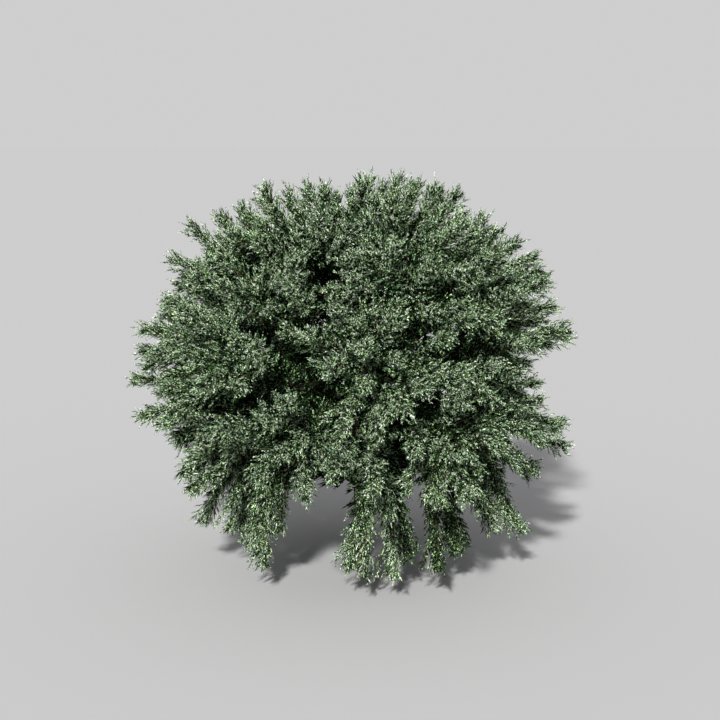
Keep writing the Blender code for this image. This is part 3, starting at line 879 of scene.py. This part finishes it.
# %% [markdown]
# ## Foliage materials
#
# Scale leaves are waxy: the light glances off them softly, and a dust of pale wax, the bloom,
# lies on them in patches. So each tint has two colours, the scale's and its bloom's, dealt out
# by noise in patches about a centimetre across, which gives the crown its sparkle: the
# near-white bloom colours are partly painted glints. A fine bump the size of a scale breaks the
# glance up. Old and shaded scales have lost their wax: they get a rough surface with little
# shine, so that the depths stay green and dark instead of grey.

# %% Foliage finish
BLOOM_AND_SPARKLE_PATCH = 0.0125  # coarser than the real dust, which is too fine to show from 11 m
BLOOM_AND_SPARKLE_EDGES = (0.575, 0.60)  # of the noise: no bloom below, full bloom above
SCALE_SIZE = 0.003
WAXY = {"ior": 1.42, "roughness": (0.25, 0.55)}
DULL = {"ior": 1.18, "roughness": (0.6, 0.9)}
DULL_TINTS = 5  # the first ones of the list


def leaf_finish(name, code, bloom_and_sparkle, wax):
    """Scale leaves: deep colour broken by pale bloom and painted sparkle, with a soft or a dull
    shine.
    """
    made = bpy.data.materials.new(name)
    made.use_nodes = True
    tree = made.node_tree
    shader = tree.nodes["Principled BSDF"]
    shader.inputs["IOR"].default_value = wax["ior"]
    place = add(tree, "ShaderNodeTexCoord").outputs["Object"]
    noises = {"Vector": place, "Scale": 1 / BLOOM_AND_SPARKLE_PATCH, "Detail": 1.0}
    patches = add(tree, "ShaderNodeTexNoise", noises).outputs["Fac"]
    edges = {"Value": patches, "From Min": BLOOM_AND_SPARKLE_EDGES[0], "From Max": BLOOM_AND_SPARKLE_EDGES[1]}
    share = add(tree, "ShaderNodeMapRange", edges).outputs["Result"]
    colour = add(tree, "ShaderNodeMix", {"Factor": share}, data_type="RGBA")
    colour.inputs[6].default_value = linear(code)
    colour.inputs[7].default_value = linear(bloom_and_sparkle)
    tree.links.new(colour.outputs[2], shader.inputs["Base Color"])
    noises = {"Vector": place, "Scale": 1 / SCALE_SIZE, "Detail": 1.0}
    grain = add(tree, "ShaderNodeTexNoise", noises).outputs["Fac"]
    low, high = wax["roughness"]
    rough = add(tree, "ShaderNodeMapRange", {"Value": grain, "To Min": low, "To Max": high})
    tree.links.new(rough.outputs["Result"], shader.inputs["Roughness"])
    relief = {"Height": grain, "Strength": 0.5, "Distance": SCALE_SIZE / 3}
    bump = add(tree, "ShaderNodeBump", relief)
    tree.links.new(bump.outputs["Normal"], shader.inputs["Normal"])
    return made


leaf_finishes = []
for k, (name, code, bloom_and_sparkle, *_) in enumerate(TINTS):
    leaf_finishes.append(leaf_finish(name, code, bloom_and_sparkle, DULL if k < DULL_TINTS else WAXY))
print("foliage finishes:", len(leaf_finishes))


# %% Copies on points, as Geometry Nodes
def new_tree(name, sockets, gives):
    """A node tree with these inputs (name and kind) and one output, and the inputs' sockets."""
    tree = bpy.data.node_groups.new(name, "GeometryNodeTree")
    for socket, kind in sockets.items():
        tree.interface.new_socket(socket, in_out="INPUT", socket_type="NodeSocket" + kind)
    tree.interface.new_socket(gives, in_out="OUTPUT", socket_type="NodeSocketGeometry")
    return tree, add(tree, "NodeGroupInput").outputs


def copies_tree(finishes):
    """A copy of a pattern at each point, then the finish that its tint and lift add up to."""
    sockets = {"Points": "Geometry", "Patterns": "Collection", "Length": "Float"}
    tree, given = new_tree("copies on points", sockets, "Copies")
    read = {}
    for name in ("shape", "turn", "size", "tint", "lift"):
        kind = "FLOAT_VECTOR" if name in ("turn", "size") else "INT"
        found = add(tree, "GeometryNodeInputNamedAttribute", {"Name": name}, data_type=kind)
        read[name] = found.outputs["Attribute"]
    apart = {"Collection": given["Patterns"], "Separate Children": True, "Reset Children": True}
    shapes = add(tree, "GeometryNodeCollectionInfo", apart)
    lengths = {0: read["size"], "Scale": given["Length"]}
    scaled = add(tree, "ShaderNodeVectorMath", lengths, operation="SCALE")
    placing = {
        "Points": given["Points"],
        "Instance": shapes.outputs["Instances"],
        "Pick Instance": True,
        "Instance Index": read["shape"],
        "Rotation": read["turn"],
        "Scale": scaled.outputs["Vector"],
    }
    copies = add(tree, "GeometryNodeInstanceOnPoints", placing).outputs["Instances"]
    done = add(tree, "GeometryNodeRealizeInstances", {"Geometry": copies})
    lifted = {0: read["tint"], 1: read["lift"]}
    shade = add(tree, "FunctionNodeIntegerMath", lifted, operation="ADD").outputs[0]
    palest = {0: shade, 1: len(finishes) - 1}
    shade = add(tree, "FunctionNodeIntegerMath", palest, operation="MINIMUM").outputs[0]
    for k, finish in enumerate(finishes):
        same = add(tree, "FunctionNodeCompare", data_type="INT", operation="EQUAL")
        tree.links.new(shade, same.inputs[2])
        same.inputs[3].default_value = k
        chosen = {"Selection": same.outputs["Result"], "Material": finish}
        done = add(tree, "GeometryNodeSetMaterial", {"Geometry": done.outputs["Geometry"], **chosen})
    result = add(tree, "NodeGroupOutput")
    tree.links.new(done.outputs["Geometry"], result.inputs["Copies"])
    return tree


def socket_id(tree, name):
    """A modifier's input is set by this, not by the name that is shown."""
    sockets = [s for s in tree.interface.items_tree if s.in_out == "INPUT"]
    return next(s.identifier for s in sockets if s.name == name)


def settled(obj, name):
    """A new object at the origin with obj's evaluated mesh, and obj is removed."""
    graph = bpy.context.evaluated_depsgraph_get()
    data = bpy.data.meshes.new_from_object(obj.evaluated_get(graph))
    data.name = name
    bpy.data.objects.remove(obj)
    return new_object(name, data)


spray_growth = copies_tree(leaf_finishes)


def grow_copies(name, growth_tree, patterns, length, roots, ways, sizes, tints, shapes):
    """Copies of the patterns at these roots, each pointing its way, as one plain mesh."""
    data = bpy.data.meshes.new(name)
    data.vertices.add(len(roots))
    data.vertices.foreach_set("co", roots.astype(np.float32).ravel())
    rolls = rng.uniform(0, 2 * math.pi, len(roots))
    lift = -np.arcsin(np.clip(ways[:, 2], -1, 1))
    round_z = np.arctan2(ways[:, 1], ways[:, 0])
    put(data, "turn", "FLOAT_VECTOR", np.stack([rolls, lift, round_z], 1).astype(np.float32))
    put(data, "size", "FLOAT_VECTOR", sizes.astype(np.float32))
    put(data, "tint", "INT", tints.astype(np.int32))
    put(data, "shape", "INT", shapes.astype(np.int32))
    points = new_object(name + "_points", data)
    growth = points.modifiers.new("copies", "NODES")
    growth.node_group = growth_tree
    growth[socket_id(growth_tree, "Patterns")] = patterns
    growth[socket_id(growth_tree, "Length")] = length
    made = settled(points, name)
    for left in ("tint", "lift", "size", "shape", "turn"):
        if left in made.data.attributes:
            made.data.attributes.remove(made.data.attributes[left])
    return made


# %% Sprays of every tier
total = 0
for (tier, number), piece in pieces.items():
    roots, ways, sizes, place, lean = (np.concatenate(c) for c in zip(*piece["rows"]))
    name = f"sprays_{tier}_{'ab'[number]}"
    sizes = np.repeat(sizes[:, None], 3, 1)
    tints = deal_tints(place, lean)
    shapes = rng.integers(0, len(SPRAY_KINDS), len(place))
    # the shaded pattern has no pale needles, so that the painted shade inside stays dark
    dark = (place == INSIDE) | ((place == DIM) & (shapes > 1))
    shapes = np.where(dark, len(SPRAY_KINDS), shapes)
    made = grow_copies(name, spray_growth, patterns, SPRAY_LENGTH, roots, ways, sizes, tints, shapes)
    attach(made, "root")
    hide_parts(*piece["nodes"])
    total += len(made.data.polygons)
    print(name, len(made.data.polygons), "triangles")
print("in all", total)


def drop_patterns(collection):
    for pattern in list(collection.objects):
        bpy.data.objects.remove(pattern)
    bpy.data.collections.remove(collection)


drop_patterns(patterns)

# %% [markdown]
# ## Twigs and branchlets
#
# Bare wood shows between the plumes and from below. Each twig could be a curve with a bevel,
# but thousands of curve objects are slow. Instead every twig is a path of mesh edges whose
# points carry a radius, and Geometry Nodes turn all the paths into curves and sweep a
# three-sided outline along them: at this size more sides can't be seen.
#
# The bark is thin and stringy, reddish on young twigs and grey-brown on old wood, in colours
# kept darker than the wood's own: painted shade for limbs seen deep inside the crown. Noise that
# is drawn out upwards gives the strands, with dark furrows between them. It has no shine.

# %% Bark finish
STRAND_STRETCH = 0.12  # strands are about eight times as long as they are wide
STRAND_EDGES = (0.35, 0.65)  # of the noise: furrow below, strand above
BLOTCH_SIZE = 0.06
BARK_ROUGHNESS = (0.75, 0.95)


def bark_finish(name, dark, light, strand, relief):
    """Stringy bark: strands that run up the limb, dark in the furrows, with no shine."""
    made = bpy.data.materials.new(name)
    made.use_nodes = True
    tree = made.node_tree
    shader = tree.nodes["Principled BSDF"]
    shader.inputs["IOR"].default_value = 1.45
    place = add(tree, "ShaderNodeTexCoord").outputs["Object"]
    stretch = {"Vector": place, "Scale": (1.0, 1.0, STRAND_STRETCH)}
    drawn = add(tree, "ShaderNodeMapping", stretch).outputs["Vector"]
    noises = {"Vector": drawn, "Scale": 1 / strand, "Detail": 4.0}
    strands = add(tree, "ShaderNodeTexNoise", noises).outputs["Fac"]
    noises = {"Vector": place, "Scale": 1 / BLOTCH_SIZE, "Detail": 2.0}
    blotch = add(tree, "ShaderNodeTexNoise", noises).outputs["Fac"]
    edges = {"Value": strands, "From Min": STRAND_EDGES[0], "From Max": STRAND_EDGES[1]}
    share = add(tree, "ShaderNodeMapRange", edges).outputs["Result"]
    colour = add(tree, "ShaderNodeMix", {"Factor": share}, data_type="RGBA")
    colour.inputs[6].default_value = linear(dark)
    colour.inputs[7].default_value = linear(light)
    tree.links.new(colour.outputs[2], shader.inputs["Base Color"])
    worn = {0: strands, 1: blotch, 2: -0.25}
    both = add(tree, "ShaderNodeMath", worn, operation="MULTIPLY_ADD").outputs[0]
    low, high = BARK_ROUGHNESS
    rough = add(tree, "ShaderNodeMapRange", {"Value": both, "To Min": low, "To Max": high})
    tree.links.new(rough.outputs["Result"], shader.inputs["Roughness"])
    furrows = {"Height": strands, "Strength": 0.8, "Distance": relief}
    bump = add(tree, "ShaderNodeBump", furrows)
    tree.links.new(bump.outputs["Normal"], shader.inputs["Normal"])
    return made


# strands 6 mm wide on twigs and 10 mm on the trunk, with furrows 1 mm and 4 mm deep
# both barks are coloured darker than the wood itself: painted shade
twig_bark = bark_finish("young reddish bark", "#1F1813", "#4A3A2C", 0.006, 0.001)
trunk_bark = bark_finish("stringy grey-brown bark", "#231C17", "#5E5045", 0.010, 0.004)
print("bark finishes:", twig_bark.name, "and", trunk_bark.name)


# %% Sweeping the twigs
TWIG_SIDES = 3


def twig_tree():
    """Paths become curves, and an outline is swept along them at each point's own girth."""
    sockets = {"Paths": "Geometry", "Sides": "Int", "Bark": "Material"}
    tree, given = new_tree("twigs from paths", sockets, "Twigs")
    named = {"Name": "girth"}
    girth = add(tree, "GeometryNodeInputNamedAttribute", named, data_type="FLOAT")
    curve = add(tree, "GeometryNodeMeshToCurve", {"Mesh": given["Paths"]})
    ring = {"Resolution": given["Sides"], "Radius": 1.0}
    outline = add(tree, "GeometryNodeCurvePrimitiveCircle", ring)
    sweeping = {
        "Curve": curve.outputs["Curve"],
        "Profile Curve": outline.outputs["Curve"],
        "Scale": girth.outputs["Attribute"],
        "Fill Caps": True,
    }
    swept = add(tree, "GeometryNodeCurveToMesh", sweeping)
    real = add(tree, "GeometryNodeRealizeInstances", {"Geometry": swept.outputs["Mesh"]})
    bare = {"Geometry": real.outputs["Geometry"], "Material": given["Bark"]}
    done = add(tree, "GeometryNodeSetMaterial", bare)
    result = add(tree, "NodeGroupOutput")
    tree.links.new(done.outputs["Geometry"], result.inputs["Twigs"])
    return tree


def sweep(name, points, edges, girths, sides, bark):
    """Edges between points become twigs of these girths, as one plain mesh."""
    data = plain_mesh(name, points, edges=edges)
    put(data, "girth", "FLOAT", np.asarray(girths, np.float32))
    paths = new_object(name + "_paths", data)
    growth = paths.modifiers.new("sweep", "NODES")
    growth.node_group = twigs_tree
    growth[socket_id(twigs_tree, "Sides")] = sides
    growth[socket_id(twigs_tree, "Bark")] = bark
    made = settled(paths, name)
    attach(made, "root")
    print(name, sum(len(p.vertices) - 2 for p in made.data.polygons), "triangles")


# %% Twigs
twigs_tree = twig_tree()
points, edges, girths = [], [], []
for path, first, last in twig_paths:
    base = len(points)
    path = path[::2] if len(path) > 2 else path
    for i, point in enumerate(path):
        points.append(tuple(point))
        girths.append(first + (last - first) * i / (len(path) - 1))
    edges += [(base + i, base + i + 1) for i in range(len(path) - 1)]
sweep("twigs", points, edges, girths, TWIG_SIDES, twig_bark)

# %% Branchlets
BRANCHLET_GIRTH = 0.0022  # radius at its root
spikes = bpy.data.collections.new("branchlet patterns")
bpy.context.scene.collection.children.link(spikes)
third = 2 * math.pi / 3
corners = [(0, math.cos(t), math.sin(t)) for t in (0, third, 2 * third)]
spike = plain_mesh("spike", corners + [(1, 0, 0)], [(2, 1, 0), (0, 1, 3), (1, 2, 3), (2, 0, 3)])
spikes.objects.link(bpy.data.objects.new("spike", spike))
roots, ways, reach = (np.concatenate(c) for c in zip(*branchlets))
girth = np.full(len(reach), BRANCHLET_GIRTH)
sizes = np.stack([reach, girth, girth], 1)
none = np.zeros(len(roots))
growth = copies_tree([twig_bark])
made = grow_copies("branchlets", growth, spikes, 1.0, roots, ways, sizes, none, none)
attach(made, "root")
print("branchlets", len(made.data.polygons), "triangles")
drop_patterns(spikes)

# %% [markdown]
# ## Trunk and boughs
#
# Old bark on such a tree peels in long strings. A bump in the material would show them from
# the front only, and not on the outline. So the trunk's surface is a tall sheet of points
# wrapped round its axis, pushed in and out by noise that is stretched along the trunk: the
# strings are real relief and catch the light from any side.

# %% Bark relief
BARK_INSET = 0.03  # share of the radius by which the surface sits inside the solid
STRINGS = (7, 2.2)  # how fine the noise of the strings is, round a limb and along it
FINE_STRINGS = (19, 6.0)
FINE_SHARE = 0.4  # how deep the fine ones are


def bark_push(out, height, relief):
    """How far the bark stands out here: ridges where the noise is nought, and finer ones on them."""
    pushes = []
    for around, along in (STRINGS, FINE_STRINGS):
        drift = height * along + out.z * around
        pushes.append(noise.noise(Vector((out.x * around, out.y * around, drift))))
    return relief * (1 - 2 * abs(pushes[0])) + FINE_SHARE * relief * pushes[1]


def limb_rings(path, radii, sides, relief, base_way):
    """Rings of points round a path. With a base_way all of them lie square to it."""
    path = [Vector(p) for p in path]
    rings = []
    side = None
    for i, point in enumerate(path):
        way = (path[min(i + 1, len(path) - 1)] - path[max(i - 1, 0)]).normalized()
        if base_way is not None:
            way = base_way
        if side is None:
            side = way.orthogonal().normalized()
        side = (side - way * side.dot(way)).normalized()
        up = way.cross(side)
        ring = []
        for j in range(sides):
            turn = 2 * math.pi * j / sides
            out = math.cos(turn) * side + math.sin(turn) * up
            push = bark_push(out, (point + out * radii[i]).z, relief)
            ring.append(point + out * (radii[i] * (1 - BARK_INSET) + push - relief))
        rings.append(ring)
    return rings


def limb_surface(path, radii, sides, relief, base_way=None):
    """A closed tube along a path, with stringy relief."""
    rings = limb_rings(path, radii, sides, relief, base_way)
    verts = [p for ring in rings for p in ring]
    faces = []
    for i in range(len(rings) - 1):
        for j in range(sides):
            k = (j + 1) % sides
            faces.append((i * sides + j, i * sides + k, (i + 1) * sides + k, (i + 1) * sides + j))
    faces.append(tuple(range(sides))[::-1])
    top = (len(rings) - 1) * sides
    faces.append(tuple(top + j for j in range(sides)))
    return verts, faces


# %% One piece from several limbs
SHARP_EDGE = math.radians(60)  # edges that turn more than this aren't smoothed


def limb_piece(name, parts, bark, nodes):
    """Closed tubes joined as one piece that stands in for these nodes of the model."""
    verts, faces = [], []
    for v, f in parts:
        base = len(verts)
        verts += v
        faces += [tuple(base + i for i in face) for face in f]
    made = new_object(name, plain_mesh(name, verts, faces))
    made.data.materials.append(bark)
    made.data.shade_smooth()
    made.data.set_sharp_from_angle(angle=SHARP_EDGE)
    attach(made, "root")
    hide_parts(*nodes)
    print(name, sum(len(f) - 2 for f in faces), "triangles")


# %% Trunk
TRUNK_RINGS = 260
RING_CROWDING = 1.1  # above 1 the rings lie closer at the foot, where the trunk flares
TRUNK_SIDES = 56
TRUNK_RELIEF = 0.004

heights = [TRUNK_TOP * (i / TRUNK_RINGS) ** RING_CROWDING for i in range(TRUNK_RINGS + 1)]
centres = [trunk_centre(height) for height in heights]
radii = [trunk_radius(height) for height in heights]
upwards = Vector((0, 0, 1))
trunk_part = limb_surface(centres, radii, TRUNK_SIDES, TRUNK_RELIEF, upwards)
limb_piece("trunk_bark", [trunk_part], trunk_bark, ["trunk"])

# %% Boughs and their bark
BOUGH_RINGS = 40
BOUGH_SIDES = 14
BOUGH_RELIEF = 0.0015

shares = [i / (BOUGH_RINGS - 1) for i in range(BOUGH_RINGS)]
radii = [mix((BOUGH_BASE_RADIUS, BOUGH_TIP_RADIUS), share) for share in shares]
bough_parts, bough_nodes = [], []
for mass in masses:
    if not mass["bough"]:
        continue
    path = bough_path(mass, BOUGH_RINGS)
    bough_parts.append(limb_surface(path, radii, BOUGH_SIDES, BOUGH_RELIEF))
    bough_nodes.append("bough_" + mass["name"])
limb_piece("bough_bark", bough_parts, trunk_bark, bough_nodes)

# %% [markdown]
# ## Floor and light
#
# A pale matt floor runs out so far that it meets the sky, which glows evenly all round as a
# studio's walls do. One soft-edged lamp, high in front and a little to the left, gives the
# plumes their bright fronts and dark gaps. The floor has no shine, and its shade is chosen so
# that, lit by the lamp and the sky, it comes out as bright as the sky: no horizon shows.

# %% Floor
FLOOR_REACH = 60.0
FLOOR_DEPTH = -0.001  # a hair under the roots, so that the trunk's foot doesn't flicker in it

square = ((-1, -1), (1, -1), (1, 1), (-1, 1))
corners = [(x * FLOOR_REACH, y * FLOOR_REACH, FLOOR_DEPTH) for x, y in square]
floor = new_object("floor", plain_mesh("floor", corners, [(0, 1, 2, 3)]))
matt = bpy.data.materials.new("matt pale floor")
matt.use_nodes = True
paint = matt.node_tree.nodes["Principled BSDF"].inputs
paint["Base Color"].default_value = linear("#A0A0A2")
paint["Roughness"].default_value = 1.0
paint["Specular IOR Level"].default_value = 0.0
floor.data.materials.append(matt)
print("floor reaches", FLOOR_REACH, "m each way")

# %% Lamp and sky
LAMP_PLACE = Vector((-1.6, -7.6, 7.4))  # it points from here at the crown's middle
LAMP_STRENGTH = 6.0
LAMP_WIDTH = math.radians(4)  # as wide as this in the sky, for soft-edged shadows
SKY_GLOW = 0.62

key = bpy.data.lights.new("key light", "SUN")
key.color = linear("#FFFEFA")[:3]
key.energy = LAMP_STRENGTH
key.angle = LAMP_WIDTH
lamp = new_object("key light", key)
lamp.location = LAMP_PLACE
lamp.rotation_euler = (LAMP_PLACE - CROWN_CENTRE).to_track_quat("Z", "Y").to_euler()

sky = bpy.data.worlds.new("studio")
sky.use_nodes = True
glow = sky.node_tree.nodes["Background"].inputs
glow["Color"].default_value = linear("#FFFFFF")
glow["Strength"].default_value = SKY_GLOW
bpy.context.scene.world = sky
bpy.context.scene.view_settings.view_transform = "Standard"
print("lamp", LAMP_STRENGTH, "and sky", SKY_GLOW)
